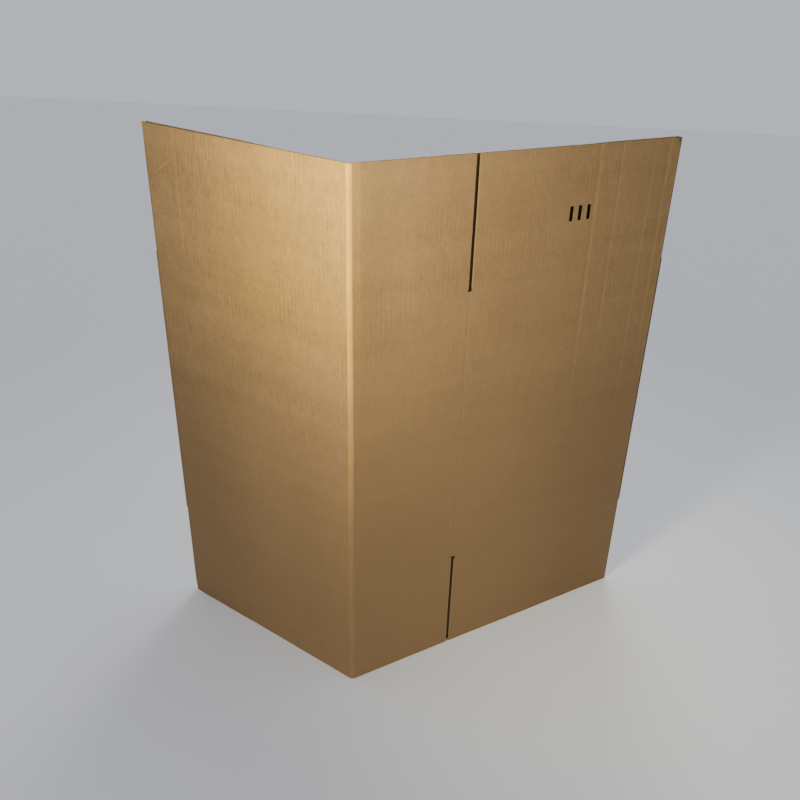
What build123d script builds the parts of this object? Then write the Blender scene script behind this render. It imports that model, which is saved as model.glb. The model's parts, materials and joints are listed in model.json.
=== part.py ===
from build123d import *
from math import cos, radians, sin, tan
import os

# A knocked-down regular slotted carton: a flat, two-layer pack of single-wall corrugated board,
# stood on its flap edges and bent once, so that it stands as a V in plan.
# Frame: +Z up, the bend points to -Y and the V opens to +Y. The origin is the centre of the
# bounding box, on the floor. All sizes are in millimetres.

# Panels, flaps and the slots between flaps
long_panel = 600.0
short_panel = 400.0
body_height = 500.0
flap_depth = short_panel / 2
slot_width = 6.0
slot_overcut = 2.0

# Board, folded edges and the glued joint
board = 4.0
edge_inset = 4.5
bend_allowance = 10.0
tab_width = 35.0
tab_chamfer = 12.0
tab_clearance = 0.6
joint_gap = 2.0

# The standing V
bend_angle = 114.0
bend_radius = 8.0

# Creases
score_width = 3.0
score_depth = 0.6
crease_gap = 0.3
hinge_offset = 0.3
flap_clearance = 1.5

# Places worked out from the sizes above
half = radians(bend_angle / 2)
back_inner = 2 * board + tab_clearance
back_face = back_inner + board
fold_radius = back_face / 2
slot_place = long_panel - short_panel
low_crease = flap_depth
high_crease = flap_depth + body_height
height = body_height + 2 * flap_depth
inner_corner = back_face / tan(half)
joint_cut = inner_corner + joint_gap / sin(2 * half)
back_inset = (back_face + 2 * hinge_offset + board) / tan(half) + flap_clearance

# The arms of the V: the left one holds a whole short panel at its back, and the right one a whole
# long panel. The pack bends at its glued joint, which is between those two, and the outer layer
# takes bend_allowance more on the left to go round it.
# In an arm, s runs out from the sharp outer corner of the bend and n runs in from the outer face.
LEFT = -1
RIGHT = 1
arm_length = {LEFT: short_panel + bend_allowance, RIGHT: long_panel}


def along(side):
    return Vector(side * sin(half), cos(half), 0)


def inward(side):
    return Vector(-side * cos(half), sin(half), 0)


def arm_point(side, s, n):
    return along(side) * s + inward(side) * n


def corner_point(left_n, right_n):
    """Where the line at left_n in the left arm meets the line at right_n in the right arm."""
    x = (left_n - right_n) / (2 * cos(half))
    y = (left_n + right_n) / (2 * sin(half))
    return Vector(x, y, 0)


def outline(points):
    return make_face(Polyline(*points, close=True))


def block(side, s_from, s_to, n_from, n_to):
    """A rectangle that lies along one arm, in plan."""
    corners = [(s_from, n_from), (s_to, n_from), (s_to, n_to), (s_from, n_to)]
    return outline([arm_point(side, s, n) for s, n in corners])


def strip(side, s_from, s_to, n_from):
    """A straight stretch of board in one arm, in plan."""
    return block(side, s_from, s_to, n_from, n_from + board)


def bent_strip(left_s, right_s, left_n, right_n):
    """A stretch of board that crosses the bend, in plan, with sharp corners."""
    return outline([
        arm_point(LEFT, left_s, left_n),
        corner_point(left_n, right_n),
        arm_point(RIGHT, right_s, right_n),
        arm_point(RIGHT, right_s, right_n + board),
        corner_point(left_n + board, right_n + board),
        arm_point(LEFT, left_s, left_n + board),
    ])


def round_corner(face, place, radius):
    corner = min(face.vertices(), key=lambda vertex: (Vector(vertex) - place).length)
    return fillet(corner, radius)


def front_layer(left_s, right_s):
    """The outer layer of board, with its bend rounded."""
    face = bent_strip(left_s, right_s, 0, 0)
    face = round_corner(face, corner_point(0, 0), bend_radius)
    return round_corner(face, corner_point(board, board), bend_radius - board)


def edge_fold(side):
    """The board folded through half a turn at the outer end of an arm, in plan."""
    centre_s = arm_length[side] - fold_radius
    arcs = []
    for radius in (fold_radius, fold_radius - board):
        start = arm_point(side, centre_s, fold_radius - radius)
        middle = arm_point(side, centre_s + radius, fold_radius)
        end = arm_point(side, centre_s, fold_radius + radius)
        arcs.append(ThreePointArc(start, middle, end))
    outer, inner = arcs
    sides = [Line(outer @ 0, inner @ 0), Line(outer @ 1, inner @ 1)]
    return make_face(Wire(arcs + sides))


def upright(face, z_from, z_to):
    return Pos(0, 0, z_from) * extrude(face, z_to - z_from, dir=(0, 0, 1))


def panels():
    """The four panels as one tube of board: both layers, the bend and the two folded edges."""
    left_s = arm_length[LEFT] - fold_radius
    right_s = arm_length[RIGHT] - fold_radius
    tab_root = inner_corner + joint_gap
    plan = front_layer(left_s, right_s)
    plan += edge_fold(LEFT)
    plan += edge_fold(RIGHT)
    plan += strip(LEFT, joint_cut, left_s, back_inner)
    plan += bent_strip(tab_root, right_s, back_inner - board, back_inner)
    return upright(plan, low_crease, high_crease) + glue_tab(tab_root)


def glue_tab(root):
    """The end of the back long panel, which is glued inside the back short panel."""
    tip = root + tab_width
    shape = [
        (root, low_crease),
        (tip, low_crease + tab_chamfer),
        (tip, high_crease - tab_chamfer),
        (root, high_crease),
    ]
    inner_face = arm_point(LEFT, 0, back_inner - board)
    arm = Plane(origin=inner_face, x_dir=along(LEFT), z_dir=inward(LEFT))
    return extrude(arm * outline(shape), board)


def long_flap_in_front(z):
    """A front long flap. The bend crosses it, so it can't swing and stays part of the body."""
    plan = front_layer(arm_length[LEFT] - edge_inset, slot_place - slot_width / 2)
    return upright(plan, z, z + flap_depth)


def slot_ends():
    """Where the four slots at one end of the carton run past the creases, in plan."""
    half_slot = slot_width / 2
    ends = [block(RIGHT, slot_place - half_slot, slot_place + half_slot, 0, board)]
    for side in (LEFT, RIGHT):
        edge = arm_length[side]
        ends.append(block(side, edge - edge_inset, edge + board, -board, back_face + board))
        ends.append(block(side, 0, back_inset, back_inner, back_face + board))
    return ends


def level_score(side, s_to, z):
    """The groove of a crease in the outer face, from near the bend to s_to."""
    start = arm_point(side, bend_radius, 0) + Vector(0, 0, z)
    across = Plane(origin=start, x_dir=inward(side), z_dir=along(side))
    groove = outline([(score_depth, 0), (-score_depth, -score_width), (-score_depth, score_width)])
    return extrude(across * groove, s_to - bend_radius)


def corner_score():
    """The groove of the upright crease between the two visible slots."""
    places = [
        (slot_place - score_width, -score_depth),
        (slot_place, score_depth),
        (slot_place + score_width, -score_depth),
    ]
    return upright(outline([arm_point(RIGHT, s, n) for s, n in places]), low_crease, high_crease)


def carton_body():
    body = panels() + long_flap_in_front(0) + long_flap_in_front(high_crease)
    for end in slot_ends():
        body -= upright(end, low_crease, low_crease + slot_overcut)
        body -= upright(end, high_crease - slot_overcut, high_crease)
    for z in (low_crease, high_crease):
        body -= level_score(LEFT, arm_length[LEFT] - edge_inset, z)
        body -= level_score(RIGHT, slot_place - slot_width / 2, z)
    return body - corner_score()


# The flaps that swing: their arm, their two ends along it, the layer they lie in, and the way
# they swing from the upright, which is out of the pack: -1 to the front and +1 to the back.
swinging_flaps = {
    "front_short_flap": (RIGHT, slot_place + slot_width / 2, long_panel - edge_inset, 0, -1),
    "back_short_flap": (LEFT, back_inset, arm_length[LEFT] - edge_inset, back_inner, 1),
    "back_long_flap": (RIGHT, back_inset, long_panel - edge_inset, back_inner, 1),
}


def flap(name, at_top):
    side, s_from, s_to, layer, _ = swinging_flaps[name]
    plan = strip(side, s_from, s_to, layer)
    if at_top:
        return upright(plan, high_crease + crease_gap, height)
    return upright(plan, 0, low_crease - crease_gap)


def hinge(name, at_top):
    """A point on the flap's hinge line, and the way the line runs for an outward swing."""
    side, s_from, _, layer, way = swinging_flaps[name]
    hinge_n = -hinge_offset if way < 0 else layer + board + hinge_offset
    z = high_crease + crease_gap / 2 if at_top else low_crease - crease_gap / 2
    turn = -side * way if at_top else side * way
    return arm_point(side, s_from, hinge_n) + Vector(0, 0, z), along(side) * turn


def build():
    nodes = {"carton_body": carton_body()}
    hinges = {}
    for name in swinging_flaps:
        for end, at_top in (("top", True), ("bottom", False)):
            nodes[f"{name}_{end}"] = flap(name, at_top)
            hinges[f"{name}_{end}"] = hinge(name, at_top)
    box = Compound(list(nodes.values())).bounding_box()
    to_origin = Vector(-box.center().X, -box.center().Y, -box.min.Z)
    nodes = {name: Pos(to_origin) * solid for name, solid in nodes.items()}
    hinges = {name: (point + to_origin, axis) for name, (point, axis) in hinges.items()}
    return nodes, hinges


nodes, hinges = build()
os.makedirs("parts", exist_ok=True)
for name, solid in nodes.items():
    export_step(solid, f"parts/{name}.step")
    print(name, "volume", round(solid.volume), "mm3")
for name, (point, axis) in hinges.items():
    print(name, "hinge at", [round(v, 3) for v in point], "along", [round(v, 5) for v in axis])
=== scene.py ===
import json
import math

import bpy
import numpy as np
from mathutils import Matrix, Vector


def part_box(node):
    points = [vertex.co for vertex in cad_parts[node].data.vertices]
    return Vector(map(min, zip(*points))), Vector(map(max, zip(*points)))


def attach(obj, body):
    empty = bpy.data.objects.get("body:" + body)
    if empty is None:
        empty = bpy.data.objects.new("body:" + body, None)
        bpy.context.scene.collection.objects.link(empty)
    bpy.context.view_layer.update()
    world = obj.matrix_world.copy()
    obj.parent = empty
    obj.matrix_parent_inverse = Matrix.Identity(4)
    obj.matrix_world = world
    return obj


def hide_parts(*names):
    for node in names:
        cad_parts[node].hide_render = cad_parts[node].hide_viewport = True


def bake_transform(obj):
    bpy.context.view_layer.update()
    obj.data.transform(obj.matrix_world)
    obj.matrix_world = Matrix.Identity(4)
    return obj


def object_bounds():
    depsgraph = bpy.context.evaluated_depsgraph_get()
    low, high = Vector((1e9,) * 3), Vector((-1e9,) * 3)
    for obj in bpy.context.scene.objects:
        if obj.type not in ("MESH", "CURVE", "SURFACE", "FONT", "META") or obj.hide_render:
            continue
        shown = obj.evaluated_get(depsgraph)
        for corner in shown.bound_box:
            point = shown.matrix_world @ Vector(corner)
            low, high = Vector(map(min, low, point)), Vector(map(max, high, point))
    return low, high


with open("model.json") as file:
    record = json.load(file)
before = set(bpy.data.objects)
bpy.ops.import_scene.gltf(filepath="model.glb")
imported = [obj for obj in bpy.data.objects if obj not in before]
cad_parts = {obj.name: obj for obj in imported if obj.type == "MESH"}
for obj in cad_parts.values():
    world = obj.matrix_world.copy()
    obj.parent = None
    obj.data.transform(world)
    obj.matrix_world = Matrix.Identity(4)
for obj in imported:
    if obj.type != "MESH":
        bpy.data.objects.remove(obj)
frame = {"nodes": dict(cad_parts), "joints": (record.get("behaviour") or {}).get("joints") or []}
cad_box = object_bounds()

# The carton is drawn as one sheet of corrugated board. A place on the sheet is (u, z): u runs along
# the outer liner in plan, from the cut end of the back short panel, round the left edge fold, over
# the front and the bend, round the right edge fold and back to the glue tab; z is the height.
# Depth runs from 0 at the outer liner to BOARD at the inner one. Everything is in metres.

# ---------------------------------------------------------------- sizes, as the CAD model has them
BOARD = 0.004
TAB_CLEARANCE = 0.0006
JOINT_GAP = 0.002
TAB_WIDTH = 0.035
TAB_CHAMFER = 0.012
BEND_ANGLE = math.radians(114)
BEND_RADIUS = 0.008
SLOT_PLACE = 0.200
HALF_SLOT = 0.003
SLOT_OVERCUT = 0.002
EDGE_INSET = 0.0045
LEFT_ARM = 0.410
RIGHT_ARM = 0.600
HINGE_OFFSET = 0.0003
CREASE_GAP = 0.0003

# ---------------------------------------------------------------- sizes of the board itself
FLUTE = 0.0079
LINER = 0.00045
MEDIUM = 0.00035
FLUTE_RISE = 0.00007
STEPS_PER_FLUTE = 3
TOP_RECESS = 0.0022
SIDE_RECESS = 0.0030
SEAM = 0.008
BACK_SHORT = 0.0022
BACK_SHORT_FAR = 0.0009
OVERLAP = 0.0001
FOLD_HALF = 0.0045
TAB_ROUND = 0.0006
TAB_SHORTFALL = 0.004
CORNER_ROOM = 0.0015

half = BEND_ANGLE / 2
BACK_INNER = 2 * BOARD + TAB_CLEARANCE
BACK_FACE = BACK_INNER + BOARD
FOLD_RADIUS = BACK_FACE / 2
ALONG = {side: np.array([side * math.sin(half), math.cos(half)]) for side in (-1, 1)}
INWARD = {side: np.array([-side * math.cos(half), math.sin(half)]) for side in (-1, 1)}
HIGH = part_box("front_short_flap_top")[0].z - CREASE_GAP
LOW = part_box("front_short_flap_bottom")[1].z + CREASE_GAP
TOP = cad_box[1].z
joints = {joint["child"]: joint for joint in frame["joints"]}
slot_hinge = np.array(joints["front_short_flap_top"]["pos_m"][:2])
CORNER = slot_hinge - ALONG[1] * (SLOT_PLACE + HALF_SLOT) + INWARD[1] * HINGE_OFFSET
BACK_INSET = (BACK_FACE + 2 * HINGE_OFFSET + BOARD) / math.tan(half) + CORNER_ROOM


def arm_point(side, s, n):
    """A place in plan: s along an arm from the bend's sharp corner, n in from its outer face."""
    return CORNER + ALONG[side] * s + INWARD[side] * n


def ramp(x, low, high):
    """A smooth step from 0 at low to 1 at high."""
    t = np.clip((x - low) / (high - low), 0, 1)
    return t * t * (3 - 2 * t)


# ---------------------------------------------------------------- the path of the sheet in plan
class Path:
    """Straight runs and arcs, end to end. The board lies to the left of the way it runs."""

    def __init__(self, start, heading):
        self.place = np.array(start, float)
        self.heading = heading
        self.length = 0.0
        self.runs = []

    def straight(self, length):
        self.runs.append((self.length, self.place.copy(), self.heading, None, 0.0))
        self.place = self.place + length * np.array([math.cos(self.heading), math.sin(self.heading)])
        self.length += length
        return self

    def turn(self, angle, radius):
        side = 1 if angle > 0 else -1
        to_centre = side * radius * np.array([-math.sin(self.heading), math.cos(self.heading)])
        centre = self.place + to_centre
        self.runs.append((self.length, centre, self.heading, side, radius))
        self.heading += angle
        from_centre = np.array([math.sin(self.heading), -math.cos(self.heading)])
        self.place = centre + side * radius * from_centre
        self.length += abs(angle) * radius
        return self

    def at(self, u):
        """Places and outward normals for an array of u."""
        places = np.zeros((len(u), 2))
        headings = np.zeros(len(u))
        starts = np.array([run[0] for run in self.runs])
        index = np.clip(np.searchsorted(starts, u, side="right") - 1, 0, len(starts) - 1)
        for i, (start, point, heading, side, radius) in enumerate(self.runs):
            here = index == i
            if side is None:
                headings[here] = heading
                way = np.array([math.cos(heading), math.sin(heading)])
                places[here] = point + (u[here] - start)[:, None] * way
            else:
                h = heading + side * (u[here] - start) / radius
                headings[here] = h
                places[here] = point - side * radius * np.stack([-np.sin(h), np.cos(h)], 1)
        return places, np.stack([np.sin(headings), -np.cos(headings)], 1)


turn_angle = math.pi - BEND_ANGLE
left_run = LEFT_ARM - FOLD_RADIUS
right_run = RIGHT_ARM - FOLD_RADIUS
joint_cut = BACK_FACE / math.tan(half) + JOINT_GAP / math.sin(2 * half)
bend_run = BEND_RADIUS / math.tan(half)
tab_run = TAB_ROUND * math.tan(turn_angle / 2)


def rounded(points, radii):
    """A path along straight lines, with an arc of the given radius at each inner corner."""
    legs = [b - a for a, b in zip(points, points[1:])]
    ways = [math.atan2(leg[1], leg[0]) for leg in legs]
    path = Path(points[0], ways[0])
    used = 0.0
    for leg, way, next_way, radius in zip(legs, ways, ways[1:], radii):
        corner_turn = next_way - way
        cut = radius * math.tan(abs(corner_turn) / 2)
        path.straight(np.linalg.norm(leg) - used - cut).turn(corner_turn, radius)
        used = cut
    return path.straight(np.linalg.norm(legs[-1]) - used)


heading_left = math.atan2(ALONG[-1][1], ALONG[-1][0])
sheet = Path(arm_point(-1, joint_cut, BACK_FACE), heading_left)
sheet.straight(left_run - joint_cut)
u_left_back = sheet.length
sheet.turn(math.pi, FOLD_RADIUS)
u_left_front = sheet.length
sheet.straight(left_run - bend_run)
sheet.turn(turn_angle, BEND_RADIUS)
u_bend = sheet.length - turn_angle * BEND_RADIUS / 2
u_bend_end = sheet.length
sheet.straight(right_run - bend_run)
u_right_front = sheet.length
sheet.turn(math.pi, FOLD_RADIUS)
u_right_back = sheet.length


def vertex_of_tab():
    """How far out on the right arm the tab turns, along the outer liner."""
    x = (BACK_INNER - BACK_FACE) / (2 * math.cos(half))
    y = (BACK_INNER + BACK_FACE) / (2 * math.sin(half))
    return float(np.dot([x, y], ALONG[1]))


sheet.straight(right_run - vertex_of_tab() - tab_run)
u_tab_turn = sheet.length
sheet.turn(-turn_angle, TAB_ROUND)
u_tab_root = sheet.length
sheet.straight(TAB_WIDTH + BACK_FACE / math.tan(half) - TAB_SHORTFALL)
u_end = sheet.length


def u_at(side, s, front):
    """The sheet's u at a distance s from the bend's sharp corner, on the front or the back layer."""
    if front:
        return u_left_front + left_run - s if side < 0 else u_bend_end + s - bend_run
    return s - joint_cut if side < 0 else u_right_back + right_run - s


# Towards the top the bend opens into a sharp fold and a narrow facet beside it.
FACET = 0.0176
FACET_WAY = math.radians(28.5)
SOFT_LEFT = 0.080
SOFT_RIGHT = 0.170
SHARP_RADIUS = 0.006
FACET_RADIUS = 0.004
sharp_fold = CORNER + np.array([-0.0010, 0.0012])
second_fold = sharp_fold + FACET * np.array([math.cos(FACET_WAY), math.sin(FACET_WAY)])
soft_points = [arm_point(-1, SOFT_LEFT, 0), sharp_fold, second_fold, arm_point(1, SOFT_RIGHT, 0)]
soft_bend = rounded(soft_points, [SHARP_RADIUS, FACET_RADIUS])
soft_span = (u_at(-1, SOFT_LEFT, True), u_at(1, SOFT_RIGHT, True))
sharp_share = np.linalg.norm(sharp_fold - soft_points[0]) / soft_bend.length
u_sharp = soft_span[0] + sharp_share * (soft_span[1] - soft_span[0])
facet_end = u_sharp + FACET


def plan_at(u, z):
    """Places and outward normals in plan, with the upper bend's own shape."""
    plan, normal = sheet.at(u)
    near = (u > soft_span[0]) & (u < soft_span[1])
    share = (u[near] - soft_span[0]) / (soft_span[1] - soft_span[0])
    soft_plan, soft_normal = soft_bend.at(share * soft_bend.length)
    weight = ramp(z[near], 0.50, 0.80) * ramp(share, 0, 0.25) * (1 - ramp(share, 0.60, 1))
    plan[near] += weight[:, None] * (soft_plan - plan[near])
    mixed = normal[near] + weight[:, None] * (soft_normal - normal[near])
    normal[near] = mixed / np.linalg.norm(mixed, axis=1)[:, None]
    return plan, normal


# ---------------------------------------------------------------- regions of the sheet
u_front_flap = (u_at(-1, LEFT_ARM - EDGE_INSET, True), u_at(1, SLOT_PLACE - HALF_SLOT, True))
u_short_front = (u_at(1, SLOT_PLACE + HALF_SLOT, True), u_at(1, RIGHT_ARM - EDGE_INSET, True))
u_short_back = (u_at(-1, BACK_INSET, False), u_at(-1, LEFT_ARM - EDGE_INSET, False))
u_long_back = (u_at(1, RIGHT_ARM - EDGE_INSET, False), u_at(1, BACK_INSET, False))
FLAPS = {
    "front_short_flap": u_short_front,
    "back_short_flap": u_short_back,
    "back_long_flap": u_long_back,
}


def owner_of(u, z):
    """The piece that holds a place on the sheet, or None where the sheet is cut away."""
    outside = z > HIGH - SLOT_OVERCUT or z < LOW + SLOT_OVERCUT
    near = z > HIGH - SEAM or z < LOW + SEAM
    end = "top" if z > (LOW + HIGH) / 2 else "bottom"
    if u_front_flap[0] < u < u_front_flap[1]:
        return "carton_body"
    for name, (u_from, u_to) in FLAPS.items():
        if u_from < u < u_to and near:
            return f"{name}_{end}"
    if outside:
        return None
    return "carton_body"


# ---------------------------------------------------------------- how the real sheet departs from flat
def bump_at(x, centre, width):
    """A soft hump of height 1 at its centre."""
    return np.exp(-(((x - centre) / width) ** 2))


def wobble(x, seed, scale):
    """A smooth repeatable wander between about -1 and 1."""
    rng = np.random.default_rng(seed)
    total = 0.0
    for octave in range(5):
        frequency = 2 * math.pi / scale * 1.7**octave
        total = total + np.sin(x * frequency + rng.uniform(0, 2 * math.pi)) / 1.5**octave
    return total / 2.4


def between_creases(z):
    """1 on the panels, 0 on the flaps."""
    return ramp(z, LOW - 0.002, LOW) * (1 - ramp(z, HIGH, HIGH + 0.002))


HOLLOW_BESIDE = 0.0046
# arm, place along it, depth of the hollow, height where it starts, height over which it grows
CRUSHED_FLUTES = (
    (-1, 0.3370, 0.00014, 0.68, 0.06),
    (1, 0.4284, 0.00024, 0.42, 0.25),
    (1, 0.4732, 0.00022, 0.45, 0.25),
    (1, 0.5408, 0.00014, 0.30, 0.25),
    (1, 0.5733, 0.00024, 0.45, 0.25),
    (1, 0.5920, 0.00022, 0.00, 0.25),
)
# how strongly the pale line beside each of them shows: rubbed paper and a painted highlight of the lit crest
CREST_WEAR_AND_HIGHLIGHT = (0.32, 0.45, 0.22, 0.26, 0.32, 0.0)


def relief(u, z):
    """How far the outer liner stands out, in metres, at each place."""
    out = np.zeros(np.broadcast(u, z).shape)
    # flutes show through the liner, more in some places than in others
    strength = 0.5 + 0.35 * wobble(u, 11, 0.31) + 0.35 * wobble(z, 12, 0.16) * wobble(u, 13, 0.19)
    strength = strength * ramp(z, 0.42, 0.72) * np.where(u > u_bend, 0.6, 1.0)
    out = out - FLUTE_RISE * strength * (0.5 - 0.5 * np.cos(2 * math.pi * u / FLUTE))
    # level creases of the panels, and the upright crease between the visible slots
    for crease in (LOW, HIGH):
        out = out - 0.00014 * bump_at(z, crease, 0.0030)
    upright = u_at(1, SLOT_PLACE, True)
    out = out - 0.00022 * bump_at(u, upright, 0.0018) * between_creases(z)
    # crushed flutes: a shallow hollow on the bend's side of each rubbed line
    for side, place_on_arm, depth, reach, span in CRUSHED_FLUTES:
        hollow = u_at(side, place_on_arm - HOLLOW_BESIDE, True)
        out = out - depth * bump_at(u, hollow, 0.0024) * ramp(z, reach, reach + span)
    # soft level waves across the panels
    waves = wobble(z + 0.02 * wobble(u, 15, 0.4), 16, 0.085) * (0.6 + 0.4 * wobble(u, 17, 0.5))
    out = out - 0.00036 + 0.00028 * waves
    # cut ends of the flaps curl in a little
    for cut in (u_short_front[1], u_front_flap[0]):
        out = out - 0.0009 * bump_at(u, cut, 0.0021) * (1 - between_creases(z))
    return out


def crushed(u, z):
    """Corners pushed in, in metres: a dog-ear at the upper right, a soft dent at the lower left."""
    from_corner = (u_short_front[1] - u) + (TOP - z)
    dog_ear = 0.0026 * (1 - ramp(from_corner, 0.007, 0.013)) * (u > u_bend) * (u < u_right_front)
    low_left = 0.0012 * bump_at(np.hypot(u - u_front_flap[0], z), 0, 0.014)
    return dog_ear + low_left


TEAR_FADE = 0.0050


def slot_gap(u, z):
    """How far the cut edges of the front slots stand back from the straight cut, as a shift of u."""
    lower_tear = 0.0014 + 0.0012 * np.abs(wobble(z, 41, 0.017))
    upper_tear = 0.0017 + 0.0004 * np.abs(wobble(z, 42, 0.05))
    tear = np.where(z < (LOW + HIGH) / 2, lower_tear, upper_tear)
    low_end, high_end = LOW + SLOT_OVERCUT, HIGH - SLOT_OVERCUT
    closed = ramp(z, low_end, low_end + 0.001) * (1 - ramp(z, high_end - 0.001, high_end))
    left, right = u_front_flap[1], u_short_front[0]
    to_left = -tear * ramp(u, left - TEAR_FADE, left) * (u <= left + 1e-6)
    to_right = tear * (1 - ramp(u, right, right + TEAR_FADE)) * (u >= right - 1e-6)
    return (to_left + to_right) * (1 - closed)


def bow(u, z):
    """The slow bowing of whole panels, the same through the thickness, in metres outwards."""
    arm = np.where(u < u_bend, (u - u_left_front) / left_run, (u_right_front - u) / right_run)
    free = np.clip(arm, 0, 1) * np.clip(1 - arm, 0, 1) * 4
    front = (u > u_left_front) & (u < u_right_front)
    swell = 0.0008 * free * wobble(z, 5, 1.3) + 0.0005 * free * wobble(u + z, 6, 0.7)
    return np.where(front, swell, 0.4 * swell)


def ragged(u, outer):
    """How far a cut top or bottom edge falls short, in metres."""
    seed = 21 if outer else 22
    return 0.00018 * (1 + wobble(u, seed, 0.05)) + 0.00010 * (1 + wobble(u, seed + 7, 0.011))


def place(u, z, depth):
    """Points in space for arrays of u, z and depth of one shape."""
    shape = np.broadcast(u, z, depth).shape
    u, z, depth = (np.broadcast_to(a, shape).ravel().astype(float) for a in (u, z, depth))
    plan, normal = plan_at(u + slot_gap(u, z), z)
    outer = depth < BOARD / 2
    out = bow(u, z) + np.where(depth < LINER + 1e-9, relief(u, z), 0) - crushed(u, z)
    flat = plan + normal * (out - depth)[:, None]
    # the tab narrows to its free end
    share = np.clip((u - u_tab_root) / TAB_WIDTH, 0, 1)
    middle = (LOW + HIGH) / 2
    height = middle + (z - middle) * (1 - share * TAB_CHAMFER / (middle - LOW))
    short = np.where(outer, ragged(u, True), ragged(u, False))
    height = height - short * ramp(z, TOP - 0.006, TOP) + short * (1 - ramp(z, 0, 0.006))
    return np.column_stack([flat, height - back_shortfall(u) * ramp(z, TOP - 0.03, TOP)])


def back_shortfall(u):
    """How much lower the back flaps' upper edge stands, more near the bend than at the far ends."""
    left, right = u < u_left_back, u > u_right_back
    on_left = ramp(u + joint_cut, 0.12, 0.24)
    on_right = ramp(u_right_back + right_run - u, 0.40, 0.46)
    far = np.where(left, on_left, on_right)
    return (BACK_SHORT + far * (BACK_SHORT_FAR - BACK_SHORT)) * (left | right)


# ---------------------------------------------------------------- grids and meshes
def spaced(low, high, step):
    """Even steps from low to high, about as long as step."""
    return list(np.linspace(low, high, max(2, int(round((high - low) / step)) + 1)))


def around(*places):
    """Three close steps on each side of every place."""
    return [p + 0.0015 * k for p in places for k in range(-3, 4)]


def unique(values, low, high):
    """The values in order and within limits, without near repeats."""
    kept = []
    for value in sorted(values):
        if low - 1e-9 <= value <= high + 1e-9 and (not kept or value - kept[-1] > 2e-4):
            kept.append(min(max(value, low), high))
    return np.array(kept)


cuts = [edge for pair in (u_front_flap, u_short_front, u_short_back, u_long_back) for edge in pair]
insets = [u_front_flap[0] + SIDE_RECESS, u_front_flap[1] - SIDE_RECESS]
for u_from, u_to in FLAPS.values():
    insets += [u_from + SIDE_RECESS, u_to - SIDE_RECESS]
arcs = spaced(u_left_back, u_left_front, 0.0014) + spaced(u_right_front, u_right_back, 0.0014)
arcs += spaced(u_bend - 0.016, u_bend + 0.030, 0.001) + spaced(u_tab_turn, u_tab_root, 0.0002)
crushed_lines = [u_at(flute[0], flute[1] - HOLLOW_BESIDE, True) for flute in CRUSHED_FLUTES]
crushed_lines.append(u_at(1, SLOT_PLACE, True))


def columns(step):
    """The u of the grid's columns: exact at each cut, with regular steps between."""
    exact = sorted(set([0.0, SIDE_RECESS, u_end] + cuts + insets))
    fill = [u for u in np.arange(0, u_end, step) if min(abs(u - e) for e in exact) > 4e-4]
    finer = arcs + (around(*crushed_lines) if step < FLUTE else [])
    inside_arcs = [u for u in finer if min(abs(u - e) for e in exact) > 4e-4]
    return unique(exact + fill + inside_arcs, 0, u_end)


def rows():
    """The heights of the grid's rows: exact at each crease and slot end."""
    exact = [0, TOP_RECESS, LOW, HIGH, TOP - TOP_RECESS, TOP]
    exact += [LOW + SLOT_OVERCUT, HIGH - SLOT_OVERCUT, LOW + SEAM, HIGH - SEAM]
    exact += [LOW + SLOT_OVERCUT + SIDE_RECESS, HIGH - SLOT_OVERCUT - SIDE_RECESS]
    soft = around(LOW, HIGH) + spaced(0, LOW, 0.020) + spaced(LOW, TOP, 0.028)
    for from_edge in (0.0009, 0.006, 0.014):
        soft += [from_edge, TOP - from_edge]
    soft = [z for z in soft if min(abs(z - e) for e in exact) > 5e-4]
    return unique(exact + soft, 0, TOP)


def cells_of(piece, us, zs):
    """Which cells of the grid belong to a piece."""
    middles_u = (us[1:] + us[:-1]) / 2
    middles_z = (zs[1:] + zs[:-1]) / 2
    return np.array([[owner_of(u, z) == piece for z in middles_z] for u in middles_u])


def inset_cells(mask, us, zs, whole):
    """The cells of a mask that lie back from every cut edge of the board."""
    middles_u = (us[1:] + us[:-1]) / 2
    middles_z = (zs[1:] + zs[:-1]) / 2
    kept = mask.copy()
    low_end, high_end = LOW + SLOT_OVERCUT, HIGH - SLOT_OVERCUT
    kept[:, middles_z < TOP_RECESS] = False
    kept[:, middles_z > TOP - TOP_RECESS] = False
    kept[middles_u < SIDE_RECESS, :] = False
    for i, u in enumerate(middles_u):
        if any(abs(u - cut) < SIDE_RECESS for cut in cuts):
            outside = (middles_z > high_end - SIDE_RECESS) | (middles_z < low_end + SIDE_RECESS)
            kept[i, outside] = False
    for j, z in enumerate(middles_z):
        if high_end - SIDE_RECESS < z < high_end or low_end < z < low_end + SIDE_RECESS:
            kept[~whole, j] = False
    return kept


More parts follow.
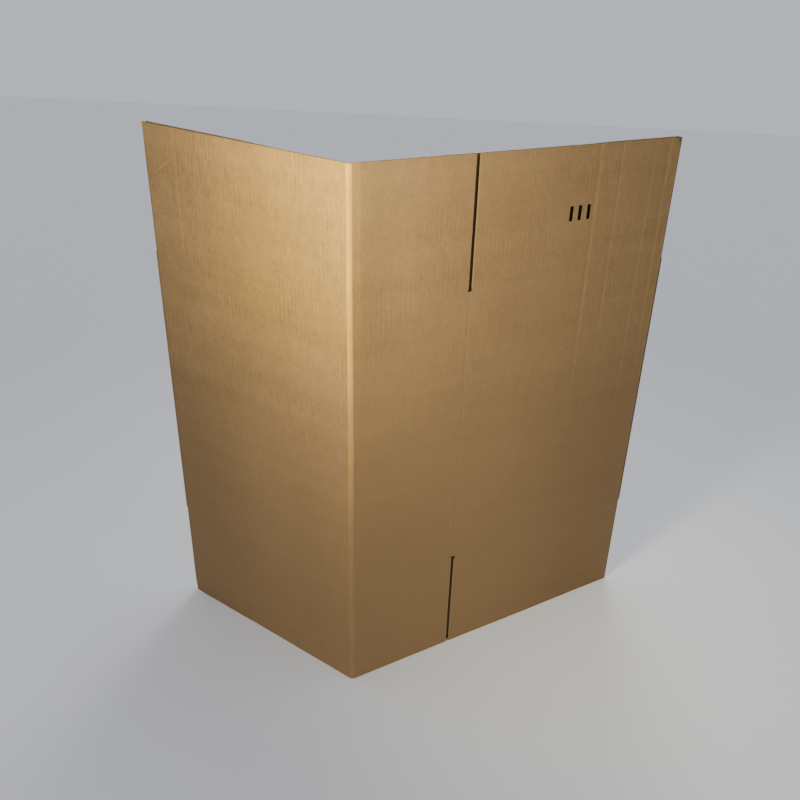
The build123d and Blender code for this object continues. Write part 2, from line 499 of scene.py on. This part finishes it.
class Shell:
    """Gathers closed slabs of the sheet into one mesh."""

    def __init__(self):
        self.points = []
        self.faces = []
        self.kinds = []
        self.spots = []
        self.count = 0

    def add(self, points, faces, kinds, spots):
        """Adds points, faces, each face's material and each point's place on the sheet."""
        self.points.append(points)
        self.spots.append(spots)
        self.faces += [tuple(i + self.count for i in face) for face in faces]
        self.kinds += kinds
        self.count += len(points)

    def slab(self, mask, us, zs, near, far, kinds):
        """A closed slab over the cells of a mask, between two depths. kinds: face, back, rim."""
        if not mask.any():
            return
        columns_n, rows_n = len(us), len(zs)
        grid_u, grid_z = np.meshgrid(us, zs, indexing="ij")
        layers = [place(grid_u, grid_z, np.full(grid_u.shape, depth)) for depth in (near, far)]
        total = columns_n * rows_n
        faces, made = [], []
        padded = np.zeros((mask.shape[0] + 2, mask.shape[1] + 2), bool)
        padded[1:-1, 1:-1] = mask
        for i, j in zip(*np.nonzero(mask)):
            a, b = i * rows_n + j, (i + 1) * rows_n + j
            corner = (a, b, b + 1, a + 1)
            faces.append(corner)
            made.append(kinds[0])
            faces.append(tuple(c + total for c in reversed(corner)))
            made.append(kinds[1])
            walls = (
                (padded[i, j + 1], (a, a + 1)),
                (padded[i + 2, j + 1], (b + 1, b)),
                (padded[i + 1, j], (b, a)),
                (padded[i + 1, j + 2], (a + 1, b + 1)),
            )
            for neighbour, (p, q) in walls:
                if not neighbour:
                    faces.append((p, q, q + total, p + total))
                    made.append(kinds[2])
        used = np.unique(np.concatenate([np.array(face) for face in faces]))
        remap = -np.ones(2 * total, int)
        remap[used] = np.arange(len(used))
        points = np.concatenate(layers)[used]
        flat = np.column_stack([np.tile(grid_u.ravel(), 2), np.tile(grid_z.ravel(), 2)])[used]
        self.add(points, [tuple(remap[list(face)]) for face in faces], made, flat)

    def ribbon(self, u_from, u_to, z_edge, inner_z, kind):
        """The fluted medium where it shows at a cut edge."""
        steps = max(8, int((u_to - u_from) / FLUTE * 10))
        us = np.linspace(u_from + 0.0003, u_to - 0.0003, steps + 1)
        swing = BOARD / 2 - LINER - MEDIUM / 2
        middle = BOARD / 2 - swing * np.cos(2 * math.pi * us / FLUTE)
        rim = z_edge + (0.0005 if z_edge < inner_z else -0.0005) * (1.2 + 0.4 * wobble(us, 31, 0.02))
        rings = []
        inner = np.full(len(us), inner_z)
        for way, heights in ((-1, rim), (1, rim), (1, inner), (-1, inner)):
            rings.append(place(us, heights, middle + way * MEDIUM / 2))
        points = np.stack(rings, 1).reshape(-1, 3)
        faces = []
        turned = z_edge < inner_z
        for i in range(steps):
            for k in range(4):
                a, b = 4 * i + k, 4 * i + (k + 1) % 4
                face = (a, a + 4, b + 4, b)
                faces.append(face[::-1] if turned else face)
        ends = [(0, 1, 2, 3), (4 * steps + 3, 4 * steps + 2, 4 * steps + 1, 4 * steps)]
        faces += [end[::-1] if turned else end for end in ends]
        flat = np.column_stack([np.repeat(us, 4), np.tile([z_edge, z_edge, inner_z, inner_z], len(us))])
        self.add(points, faces, [kind] * len(faces), flat)

    def fringe(self, edge, way, low, high, seed, kind):
        """Torn fibre of the outer liner, standing a little into a slot from one of its edges."""
        steps = int((high - low) / 0.0016)
        heights = np.linspace(low, high, steps + 1)
        coarse_tear = np.abs(wobble(heights, seed, 0.013))
        fine_tear = np.abs(wobble(heights, seed + 1, 0.004))
        reach = 0.00015 + 0.00045 * coarse_tear + 0.0003 * fine_tear
        us = np.stack([np.full(steps + 1, edge - way * 0.0004), edge + way * reach], 1)
        rings = []
        for k, depth in ((0, 0.00005), (1, 0.00025), (0, 0.00045)):
            rings.append(place(us[:, k], heights, np.full(steps + 1, depth)))
        points = np.stack(rings, 1).reshape(-1, 3)
        faces = []
        for i in range(steps):
            for k in range(3):
                a, b = 3 * i + k, 3 * i + (k + 1) % 3
                face = (a, b, b + 3, a + 3)
                faces.append(face if way > 0 else face[::-1])
        ends = [(2, 1, 0), (3 * steps, 3 * steps + 1, 3 * steps + 2)]
        faces += [end if way > 0 else end[::-1] for end in ends]
        flat = np.column_stack([us[:, [0, 1, 0]].ravel(), np.repeat(heights, 3)])
        self.add(points, faces, [kind] * len(faces), flat)

    def build(self, name, materials):
        """One Blender object of all that was added, with the sheet's u and z as its UV map."""
        mesh = bpy.data.meshes.new(name)
        points = np.concatenate(self.points)
        mesh.from_pydata(points.tolist(), [], self.faces)
        for material in materials:
            mesh.materials.append(material)
        mesh.polygons.foreach_set("material_index", self.kinds)
        mesh.polygons.foreach_set("use_smooth", [True] * len(self.faces))
        layer = mesh.uv_layers.new(name="sheet")
        spots = np.concatenate(self.spots)
        corners = np.zeros(len(mesh.loops), int)
        mesh.loops.foreach_get("vertex_index", corners)
        layer.data.foreach_set("uv", spots[corners].astype(np.float32).ravel())
        mesh.update()
        mesh.set_sharp_from_angle(angle=math.radians(32))
        shown = bpy.data.objects.new(name, mesh)
        bpy.context.scene.collection.objects.link(shown)
        return shown


# ---------------------------------------------------------------- materials
class Nodes:
    """Short calls for building a material."""

    def __init__(self, name):
        self.material = bpy.data.materials.new(name)
        self.material.use_nodes = True
        self.tree = self.material.node_tree
        self.tree.nodes.clear()

    def new(self, kind, **values):
        node = self.tree.nodes.new(kind)
        for key, value in values.items():
            setattr(node, key, value)
        return node

    def link(self, start, end):
        self.tree.links.new(start, end)

    def put(self, value, socket):
        """Sets a socket to a number or colour, or links it to another socket."""
        if isinstance(value, (int, float, tuple)):
            socket.default_value = value
        else:
            self.link(value, socket)

    def math(self, operation, a, b=0.0, c=0.0, clamp=False):
        node = self.new("ShaderNodeMath", operation=operation, use_clamp=clamp)
        for value, socket in zip((a, b, c), node.inputs):
            self.put(value, socket)
        return node.outputs[0]

    def times(self, a, b):
        return self.math("MULTIPLY", a, b)

    def distance(self, value, centre):
        return self.math("ABSOLUTE", self.math("SUBTRACT", value, centre))

    def tinted(self, factor, colour, tint):
        """The colour multiplied by a tint, as far as the factor says."""
        return self.mix(factor, colour, self.mix(1.0, colour, tint, "MULTIPLY"))

    def between(self, value, low, high, to_low=0.0, to_high=1.0):
        """A smooth step between two values. High may be less than low."""
        node = self.new("ShaderNodeMapRange", interpolation_type="SMOOTHSTEP")
        for item, socket in zip((value, low, high, to_low, to_high), node.inputs):
            self.put(item, socket)
        return node.outputs[0]

    def noise(self, vector, scale, detail=4.0, rough=0.55):
        node = self.new("ShaderNodeTexNoise", noise_dimensions="3D")
        self.link(vector, node.inputs["Vector"])
        node.inputs["Scale"].default_value = scale
        node.inputs["Detail"].default_value = detail
        node.inputs["Roughness"].default_value = rough
        return node.outputs["Fac"]

    def mix(self, factor, a, b, way="MIX"):
        node = self.new("ShaderNodeMix", data_type="RGBA", blend_type=way)
        for value, socket in ((factor, node.inputs[0]), (a, node.inputs[6]), (b, node.inputs[7])):
            self.put(value, socket)
        return node.outputs[2]

    def grey(self, value):
        node = self.new("ShaderNodeCombineColor")
        for socket in node.inputs:
            self.put(value, socket)
        return node.outputs[0]

    def stretched(self, vector, x, y, shift=0.0):
        node = self.new("ShaderNodeMapping")
        self.link(vector, node.inputs["Vector"])
        node.inputs["Scale"].default_value = (x, y, 1)
        node.inputs["Location"].default_value = (shift, shift * 0.7, shift)
        return node.outputs[0]

    def surface(self, colour, specular):
        """The shader, joined to the material's output."""
        shader = self.new("ShaderNodeBsdfPrincipled")
        self.put(colour, shader.inputs["Base Color"])
        shader.inputs["Specular IOR Level"].default_value = specular
        output = self.new("ShaderNodeOutputMaterial")
        self.link(shader.outputs[0], output.inputs[0])
        return shader

    def bumps(self, shader, height, strength, distance):
        """Fine roughness of the surface."""
        bump = self.new("ShaderNodeBump")
        bump.inputs["Strength"].default_value = strength
        bump.inputs["Distance"].default_value = distance
        self.link(height, bump.inputs["Height"])
        self.link(bump.outputs[0], shader.inputs["Normal"])


def front_contrast(n, u, z):
    """The paper's own pattern is plainest on the upper left of the front, and faint low down."""
    beside = n.between(u, u_bend - 0.01, u_bend + 0.01, 1.0, 0.68)
    return n.math("MULTIPLY", n.between(z, 0.20, 0.80, 0.65, 1.9), beside)


CORNER_WEAR = (0.4000, 0.4030)
SCRATCH_PLACE = 0.366
SCRATCH_HEIGHT = 0.8405
SCRATCH_SLOPE = -1.57


def rubbed_bend(n, uv, u, z):
    """How far the strip along the bend is rubbed pale."""
    centre = n.between(z, 0.50, 0.80, u_bend, u_sharp)
    rub = n.between(n.distance(u, centre), 0.0052, 0.0040)
    rub = n.times(rub, n.between(z, 0.25, 0.62, 0.15, 1.0))
    patchy = n.between(n.noise(n.stretched(uv, 60, 9, 31.0), 1.0), 0.3, 0.6, 0.55, 1.0)
    return n.times(n.times(rub, patchy), 0.85)


def rubbed_corner(n, u, z):
    """How far the upper left corner is rubbed pale."""
    inner, outer = (u_at(-1, s, True) for s in CORNER_WEAR)
    corner = n.times(n.between(u, inner, outer), n.between(z, 0.84, 0.90))
    corner = n.times(corner, n.math("GREATER_THAN", u, u_left_front - 0.008))
    return n.times(corner, 0.9)


def slanting_scratch(n, u, z):
    """How far the short scratch near the upper left corner shows."""
    across = n.math("SUBTRACT", u, u_at(-1, SCRATCH_PLACE, True))
    slant = n.math("MULTIPLY_ADD", n.math("SUBTRACT", z, SCRATCH_HEIGHT), SCRATCH_SLOPE, across)
    scratch = n.between(n.math("ABSOLUTE", slant), 0.0026, 0.0009)
    scratch = n.times(scratch, n.between(n.distance(z, SCRATCH_HEIGHT), 0.0125, 0.0095))
    return n.times(scratch, 0.28)


def crests_worn_and_lit(n, uv, u, z):
    """How far the crests beside the crushed flutes are pale: partly rubbed paper, partly a painted highlight
    where the raised crest faces the light.
    """
    patchy = n.between(n.noise(n.stretched(uv, 8, 22, 37.0), 1.0, 3.0), 0.35, 0.62, 0.45, 1.15)
    lines = 0.0
    for (side, s, depth, reach, span), rubbed in zip(CRUSHED_FLUTES, CREST_WEAR_AND_HIGHLIGHT):
        line = n.between(n.distance(u, u_at(side, s, True)), 0.0030, 0.0008)
        line = n.times(line, n.between(z, reach, reach + span, 0.0, rubbed))
        lines = n.math("MAXIMUM", lines, n.times(line, patchy))
    return lines


def front_wear(n, uv, u, z, colour, light, worn):
    """The wear on the outer liner, with painted highlights along the crests beside the crushed flutes."""
    pale = tuple(c * 1.22 for c in light[:3]) + (1.0,)
    marks = n.math("MAXIMUM", rubbed_corner(n, u, z), slanting_scratch(n, u, z))
    marks = n.math("MAXIMUM", rubbed_bend(n, uv, u, z), marks)
    # the pale crest lines are partly rubbed paper and partly a painted highlight
    return n.mix(marks, n.mix(crests_worn_and_lit(n, uv, u, z), colour, pale), worn)


def painted_light_tints(n, u, z, colour):
    """Painted light and shade high on the front near the bend: a warmer, lighter upper left, a darker facet
    and a darker strip beside it.
    """
    high_up = n.between(z, 0.50, 0.72)
    on_left = n.between(u, u_at(-1, 0.36, True), u_at(-1, 0.12, True))
    before_end = n.between(u, facet_end + 0.0008, facet_end - 0.0008)
    painted_warm_light = n.times(n.times(on_left, before_end), high_up)
    # painted light: the brightly lit upper left is given a warmer, yellower colour
    colour = n.tinted(painted_warm_light, colour, (1.07, 1.05, 0.74, 1.0))
    facet_painted_shade = n.times(n.between(u, u_sharp + 0.003, u_sharp + 0.005), before_end)
    # painted shade: the facet beside the sharp fold is darker
    colour = n.tinted(n.times(facet_painted_shade, high_up), colour, (0.88, 0.87, 1.06, 1.0))
    # painted shade: a darker strip past the facet's end, beside the bend
    past_end = n.between(u, facet_end - 0.0008, facet_end + 0.0008)
    beside = n.times(past_end, n.between(u, u_at(1, 0.10, True), u_at(1, 0.03, True)))
    return n.tinted(n.times(beside, high_up), colour, (0.86, 0.87, 0.84, 1.0))


def painted_shade_at_ends(n, u, z, colour):
    """Painted shade: the far ends of both arms are darker, mostly low down, and so are their rims where the
    sheet turns round the edge folds.
    """
    # painted shade: darker far ends, more so low down
    low_down = n.between(z, 0.66, 0.40)
    right_end = n.between(low_down, 0.0, 1.0, 0.88, 0.76)
    left_end = n.between(low_down, 0.0, 1.0, 1.0, 0.84)
    to_right = n.between(u, u_at(1, 0.22, True), u_at(1, 0.58, True), 1.0, right_end)
    to_left = n.between(u, u_at(-1, 0.16, True), u_at(-1, 0.38, True), 1.0, left_end)
    # painted shade along the rims, where the board turns away from the light round the edge folds
    right_rim = n.between(u, u_right_front - 0.0025, u_right_front + 0.0005, 1.0, 0.52)
    left_rim = n.between(u, u_left_front + 0.0060, u_left_front, 1.0, 0.84)
    shade = n.times(n.times(n.times(to_right, to_left), right_rim), left_rim)
    shade = n.between(u, u_right_back - 0.002, u_right_back + 0.004, shade, 1.0)
    shade = n.between(u, u_left_front - 0.004, u_left_front, 1.0, shade)
    return n.mix(1.0, colour, n.grey(shade), "MULTIPLY")


def paper_tone(n, uv, u, z, streaks):
    """Fibres, mottling, bands, the short upright streaks of the flutes, and painted light and shade across
    each flute, about zero.
    """
    fibres = n.noise(n.stretched(uv, 620, 380), 1.0, 5.0, 0.75)
    dabs = n.noise(n.stretched(uv, 190, 110, 3.0), 1.0, 3.0, 0.65)
    mottle = n.noise(n.stretched(uv, 60, 34, 7.0), 1.0, 5.0, 0.65)
    clouds = n.noise(n.stretched(uv, 9, 8, 12.0), 1.0, 3.0, 0.5)
    bands = n.noise(n.stretched(uv, 1.6, 30, 23.0), 1.0, 2.0, 0.5)
    tone = 0.0
    for pattern, weight in ((fibres, 0.62), (dabs, 0.72), (mottle, 0.60), (clouds, 0.45), (bands, 0.42)):
        tone = n.math("MULTIPLY_ADD", n.math("SUBTRACT", pattern, 0.5), weight, tone)
    streak = n.noise(n.stretched(uv, 190, 26, 19.0), 1.0, 2.5, 0.55)
    patches = n.noise(n.stretched(uv, 12, 9, 27.0), 1.0, 2.0, 0.5)
    shown = n.between(patches, 0.42, 0.62)
    strokes = n.times(n.math("SUBTRACT", streak, 0.5), n.times(shown, streaks))
    tone = n.math("ADD", tone, strokes)
    # painted light and shade of the flute relief: a faint stripe at each flute's period
    painted_flute_shade = n.math("COSINE", n.times(u, 2 * math.pi / FLUTE))
    seen = n.times(n.times(shown, dabs), n.between(z, 0.40, 0.70, 0.3, 1.0))
    tone = n.math("MULTIPLY_ADD", n.times(painted_flute_shade, seen), 0.16, tone)
    return tone, fibres, dabs, mottle


def kraft(name, light, dark, streaks, outside):
    """Brown kraft liner: short fibres, mottling, flutes that show through as painted light and shade, and
    soft wear; on the outside also painted highlights, tints and shade.
    """
    n = Nodes(name)
    uv = n.new("ShaderNodeUVMap", uv_map="sheet").outputs[0]
    split = n.new("ShaderNodeSeparateXYZ")
    n.link(uv, split.inputs[0])
    u, z = split.outputs[0], split.outputs[1]
    tone, fibres, dabs, mottle = paper_tone(n, uv, u, z, streaks)
    contrast = front_contrast(n, u, z) if outside else 0.7
    tone = n.math("MULTIPLY_ADD", tone, contrast, 0.5, clamp=True)
    colour = n.mix(tone, dark, light)
    worn = tuple(min(1.0, c * k) for c, k in zip(light[:3], (1.74, 1.58, 1.06))) + (1.0,)
    if outside:
        colour = front_wear(n, uv, u, z, colour, light, worn)
    # a few pale flecks and a few dark ones in the paper
    flecks = n.noise(n.stretched(uv, 330, 240, 41.0), 1.0, 2.0, 0.5)
    colour = n.mix(n.between(flecks, 0.70, 0.76, 0.0, 0.45), colour, worn)
    shades = tuple(c * 0.62 for c in dark[:3]) + (1.0,)
    colour = n.mix(n.between(flecks, 0.29, 0.24, 0.0, 0.45), colour, shades)
    if outside:
        # painted light and shade on the outside: tints near the bend, darker far ends and darker rims
        colour = painted_shade_at_ends(n, u, z, painted_light_tints(n, u, z, colour))
    shader = n.surface(colour, 0.22)
    n.link(n.between(mottle, 0.3, 0.7, 0.76, 0.88), shader.inputs["Roughness"])
    n.bumps(shader, n.math("ADD", fibres, n.times(dabs, 0.8)), 0.45, 0.00016)
    return n.material


def plain_paper(name, light, dark, scale):
    """Cut board: the torn fibre of an edge, or the medium inside."""
    n = Nodes(name)
    uv = n.new("ShaderNodeUVMap", uv_map="sheet").outputs[0]
    grain = n.noise(n.stretched(uv, scale, scale), 1.0, 5.0, 0.7)
    shader = n.surface(n.mix(n.between(grain, 0.25, 0.75), dark, light), 0.15)
    shader.inputs["Roughness"].default_value = 0.9
    n.bumps(shader, grain, 0.5, 0.0002)
    return n.material


OUTSIDE, INSIDE, EDGE, CORE = range(4)
materials = [
    kraft("kraft_outside", (0.352, 0.214, 0.091, 1), (0.238, 0.142, 0.059, 1), 0.6, True),
    kraft("kraft_inside", (0.325, 0.200, 0.086, 1), (0.222, 0.134, 0.056, 1), 0.5, False),
    plain_paper("cut_edge", (0.40, 0.26, 0.120, 1), (0.27, 0.165, 0.070, 1), 1500),
    # the medium is near-black: painted shade of the recesses behind the cut edges and inside the slots, far
    # darker than the brown medium itself
    plain_paper("fluted_medium_painted_shade", (0.075, 0.042, 0.017, 1), (0.040, 0.021, 0.008, 1), 900),
]

# ---------------------------------------------------------------- the pieces
fine_us, coarse_us, zs = columns(FLUTE / STEPS_PER_FLUTE), columns(FLUTE * 2), rows()
BARS = (0.3795, 0.3965, 0.4140)
BAR_HALF_WIDTH = 0.0029
BAR_FOOT = 0.786
BAR_HEAD = 0.809
SPANS = {"carton_body": u_front_flap}
for flap, span in FLAPS.items():
    SPANS[f"{flap}_top"] = SPANS[f"{flap}_bottom"] = span


def board_piece(node):
    shell = Shell()
    fine = cells_of(node, fine_us, zs)
    coarse = cells_of(node, coarse_us, zs)
    middles = (coarse_us[1:] + coarse_us[:-1]) / 2
    whole = np.array([any(a < u < b for a, b in list(FLAPS.values()) + [u_front_flap]) for u in middles])
    core = inset_cells(coarse, coarse_us, zs, whole)
    shell.slab(fine, fine_us, zs, 0, LINER, (OUTSIDE, INSIDE, EDGE))
    shell.slab(coarse, coarse_us, zs, BOARD - LINER, BOARD, (INSIDE, INSIDE, EDGE))
    shell.slab(core, coarse_us, zs, LINER - OVERLAP, BOARD - LINER + OVERLAP, (CORE, CORE, CORE))
    u_from, u_to = SPANS[node]
    if not node.endswith("bottom"):
        shell.ribbon(u_from, u_to, TOP, TOP - TOP_RECESS - 0.0002, CORE)
    if not node.endswith("top"):
        shell.ribbon(u_from, u_to, 0.0, TOP_RECESS + 0.0002, CORE)
    if node == "carton_body":
        edge = u_at(1, SLOT_PLACE - HALF_SLOT, True)
        shell.fringe(edge, 1, HIGH, TOP - 0.001, 51, EDGE)
        shell.fringe(edge, 1, 0.001, LOW, 52, EDGE)
    if node.startswith("front_short_flap"):
        edge = u_at(1, SLOT_PLACE + HALF_SLOT, True)
        low, high = (HIGH + FOLD_HALF, TOP - 0.001) if node.endswith("top") else (0.001, LOW - FOLD_HALF)
        shell.fringe(edge, -1, low, high, 53, EDGE)
    return shell.build(f"board_{node}", materials)


for node in frame["nodes"]:
    piece = board_piece(node)
    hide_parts(node)
    if node == "carton_body":
        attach(piece, "carton_body")
    else:
        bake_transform(piece)


def ink(name):
    n = Nodes(name)
    uv = n.new("ShaderNodeUVMap", uv_map="sheet").outputs[0]
    worn = n.between(n.noise(n.stretched(uv, 900, 900), 1.0, 4.0, 0.7), 0.3, 0.7)
    shader = n.surface(n.mix(worn, (0.004, 0.002, 0.001, 1), (0.014, 0.007, 0.003, 1)), 0.0)
    shader.inputs["Roughness"].default_value = 1.0
    return n.material


def print_mark():
    """Three plain upright bars of ink on the front short flap."""
    shell = Shell()
    for s in BARS:
        us = np.linspace(u_at(1, s - BAR_HALF_WIDTH, True), u_at(1, s + BAR_HALF_WIDTH, True), 5)
        bar_zs = np.linspace(BAR_FOOT, BAR_HEAD, 10)
        shell.slab(np.ones((4, 9), bool), us, bar_zs, -0.0003, 0.0, (0, 0, 0))
    return shell.build("print_mark", [ink("ink")])


mark = print_mark()
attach(mark, "front_short_flap_top")

# ---------------------------------------------------------------- stage, light and camera
floor_mesh = bpy.data.meshes.new("floor")
floor_mesh.from_pydata([(-6, -6, 0), (6, -6, 0), (6, 6, 0), (-6, 6, 0)], [], [(0, 1, 2, 3)])
floor = bpy.data.objects.new("floor", floor_mesh)
bpy.context.scene.collection.objects.link(floor)
n = Nodes("pale_floor")
shader = n.new("ShaderNodeBsdfPrincipled")
shader.inputs["Base Color"].default_value = (0.90, 0.90, 0.89, 1)
shader.inputs["Roughness"].default_value = 0.9
output = n.new("ShaderNodeOutputMaterial")
n.link(shader.outputs[0], output.inputs[0])
floor_mesh.materials.append(n.material)

world = bpy.data.worlds.new("studio")
bpy.context.scene.world = world
world.use_nodes = True
world.node_tree.nodes["Background"].inputs["Color"].default_value = (0.95, 1.0, 1.12, 1)
world.node_tree.nodes["Background"].inputs["Strength"].default_value = 0.61


def lamp(name, place, target, spread, radius, power, colour):
    """A soft round lamp whose light falls off smoothly to the edge of its cone."""
    data = bpy.data.lights.new(name, "SPOT")
    data.energy = power
    data.color = colour
    data.spot_size = spread
    data.spot_blend = 1.0
    data.shadow_soft_size = radius
    light = bpy.data.objects.new(name, data)
    light.location = place
    light.rotation_mode = "QUATERNION"
    light.rotation_quaternion = (Vector(target) - Vector(place)).to_track_quat("-Z", "Y")
    light.visible_camera = False
    bpy.context.scene.collection.objects.link(light)


lamp("key", (-0.247, -0.561, 0.940), (0.126, -0.170, 0.930), math.radians(161), 0.10, 33, (1, 0.92, 0.64))
lamp("back", (0.3, 2.2, 2.0), (0, 0, 0.5), math.radians(60), 0.6, 90, (1, 0.98, 0.95))

CAMERA_PLACE = Vector((0.05348, -1.25803, 1.13042))
HEADING, PITCH, ROLL = (math.radians(a) for a in (0.306, 28.830, 2.832))
ahead = Vector((-math.sin(HEADING) * math.cos(PITCH), math.cos(HEADING) * math.cos(PITCH), -math.sin(PITCH)))
level = Vector((math.cos(HEADING), math.sin(HEADING), 0))
above = level.cross(ahead)
across = level * math.cos(ROLL) + above * math.sin(ROLL)
upward = above * math.cos(ROLL) - level * math.sin(ROLL)
camera_data = bpy.data.cameras.new("camera")
camera_data.lens = 37.80
camera_data.sensor_width = 36
camera_data.shift_x = -0.0452
camera_data.shift_y = 0.0292
camera_data.clip_start = 0.01
camera_data.clip_end = 50
camera = bpy.data.objects.new("camera", camera_data)
turn = Matrix((across, upward, -ahead)).transposed()
camera.matrix_world = Matrix.Translation(CAMERA_PLACE) @ turn.to_4x4()
bpy.context.scene.collection.objects.link(camera)
bpy.context.scene.camera = camera
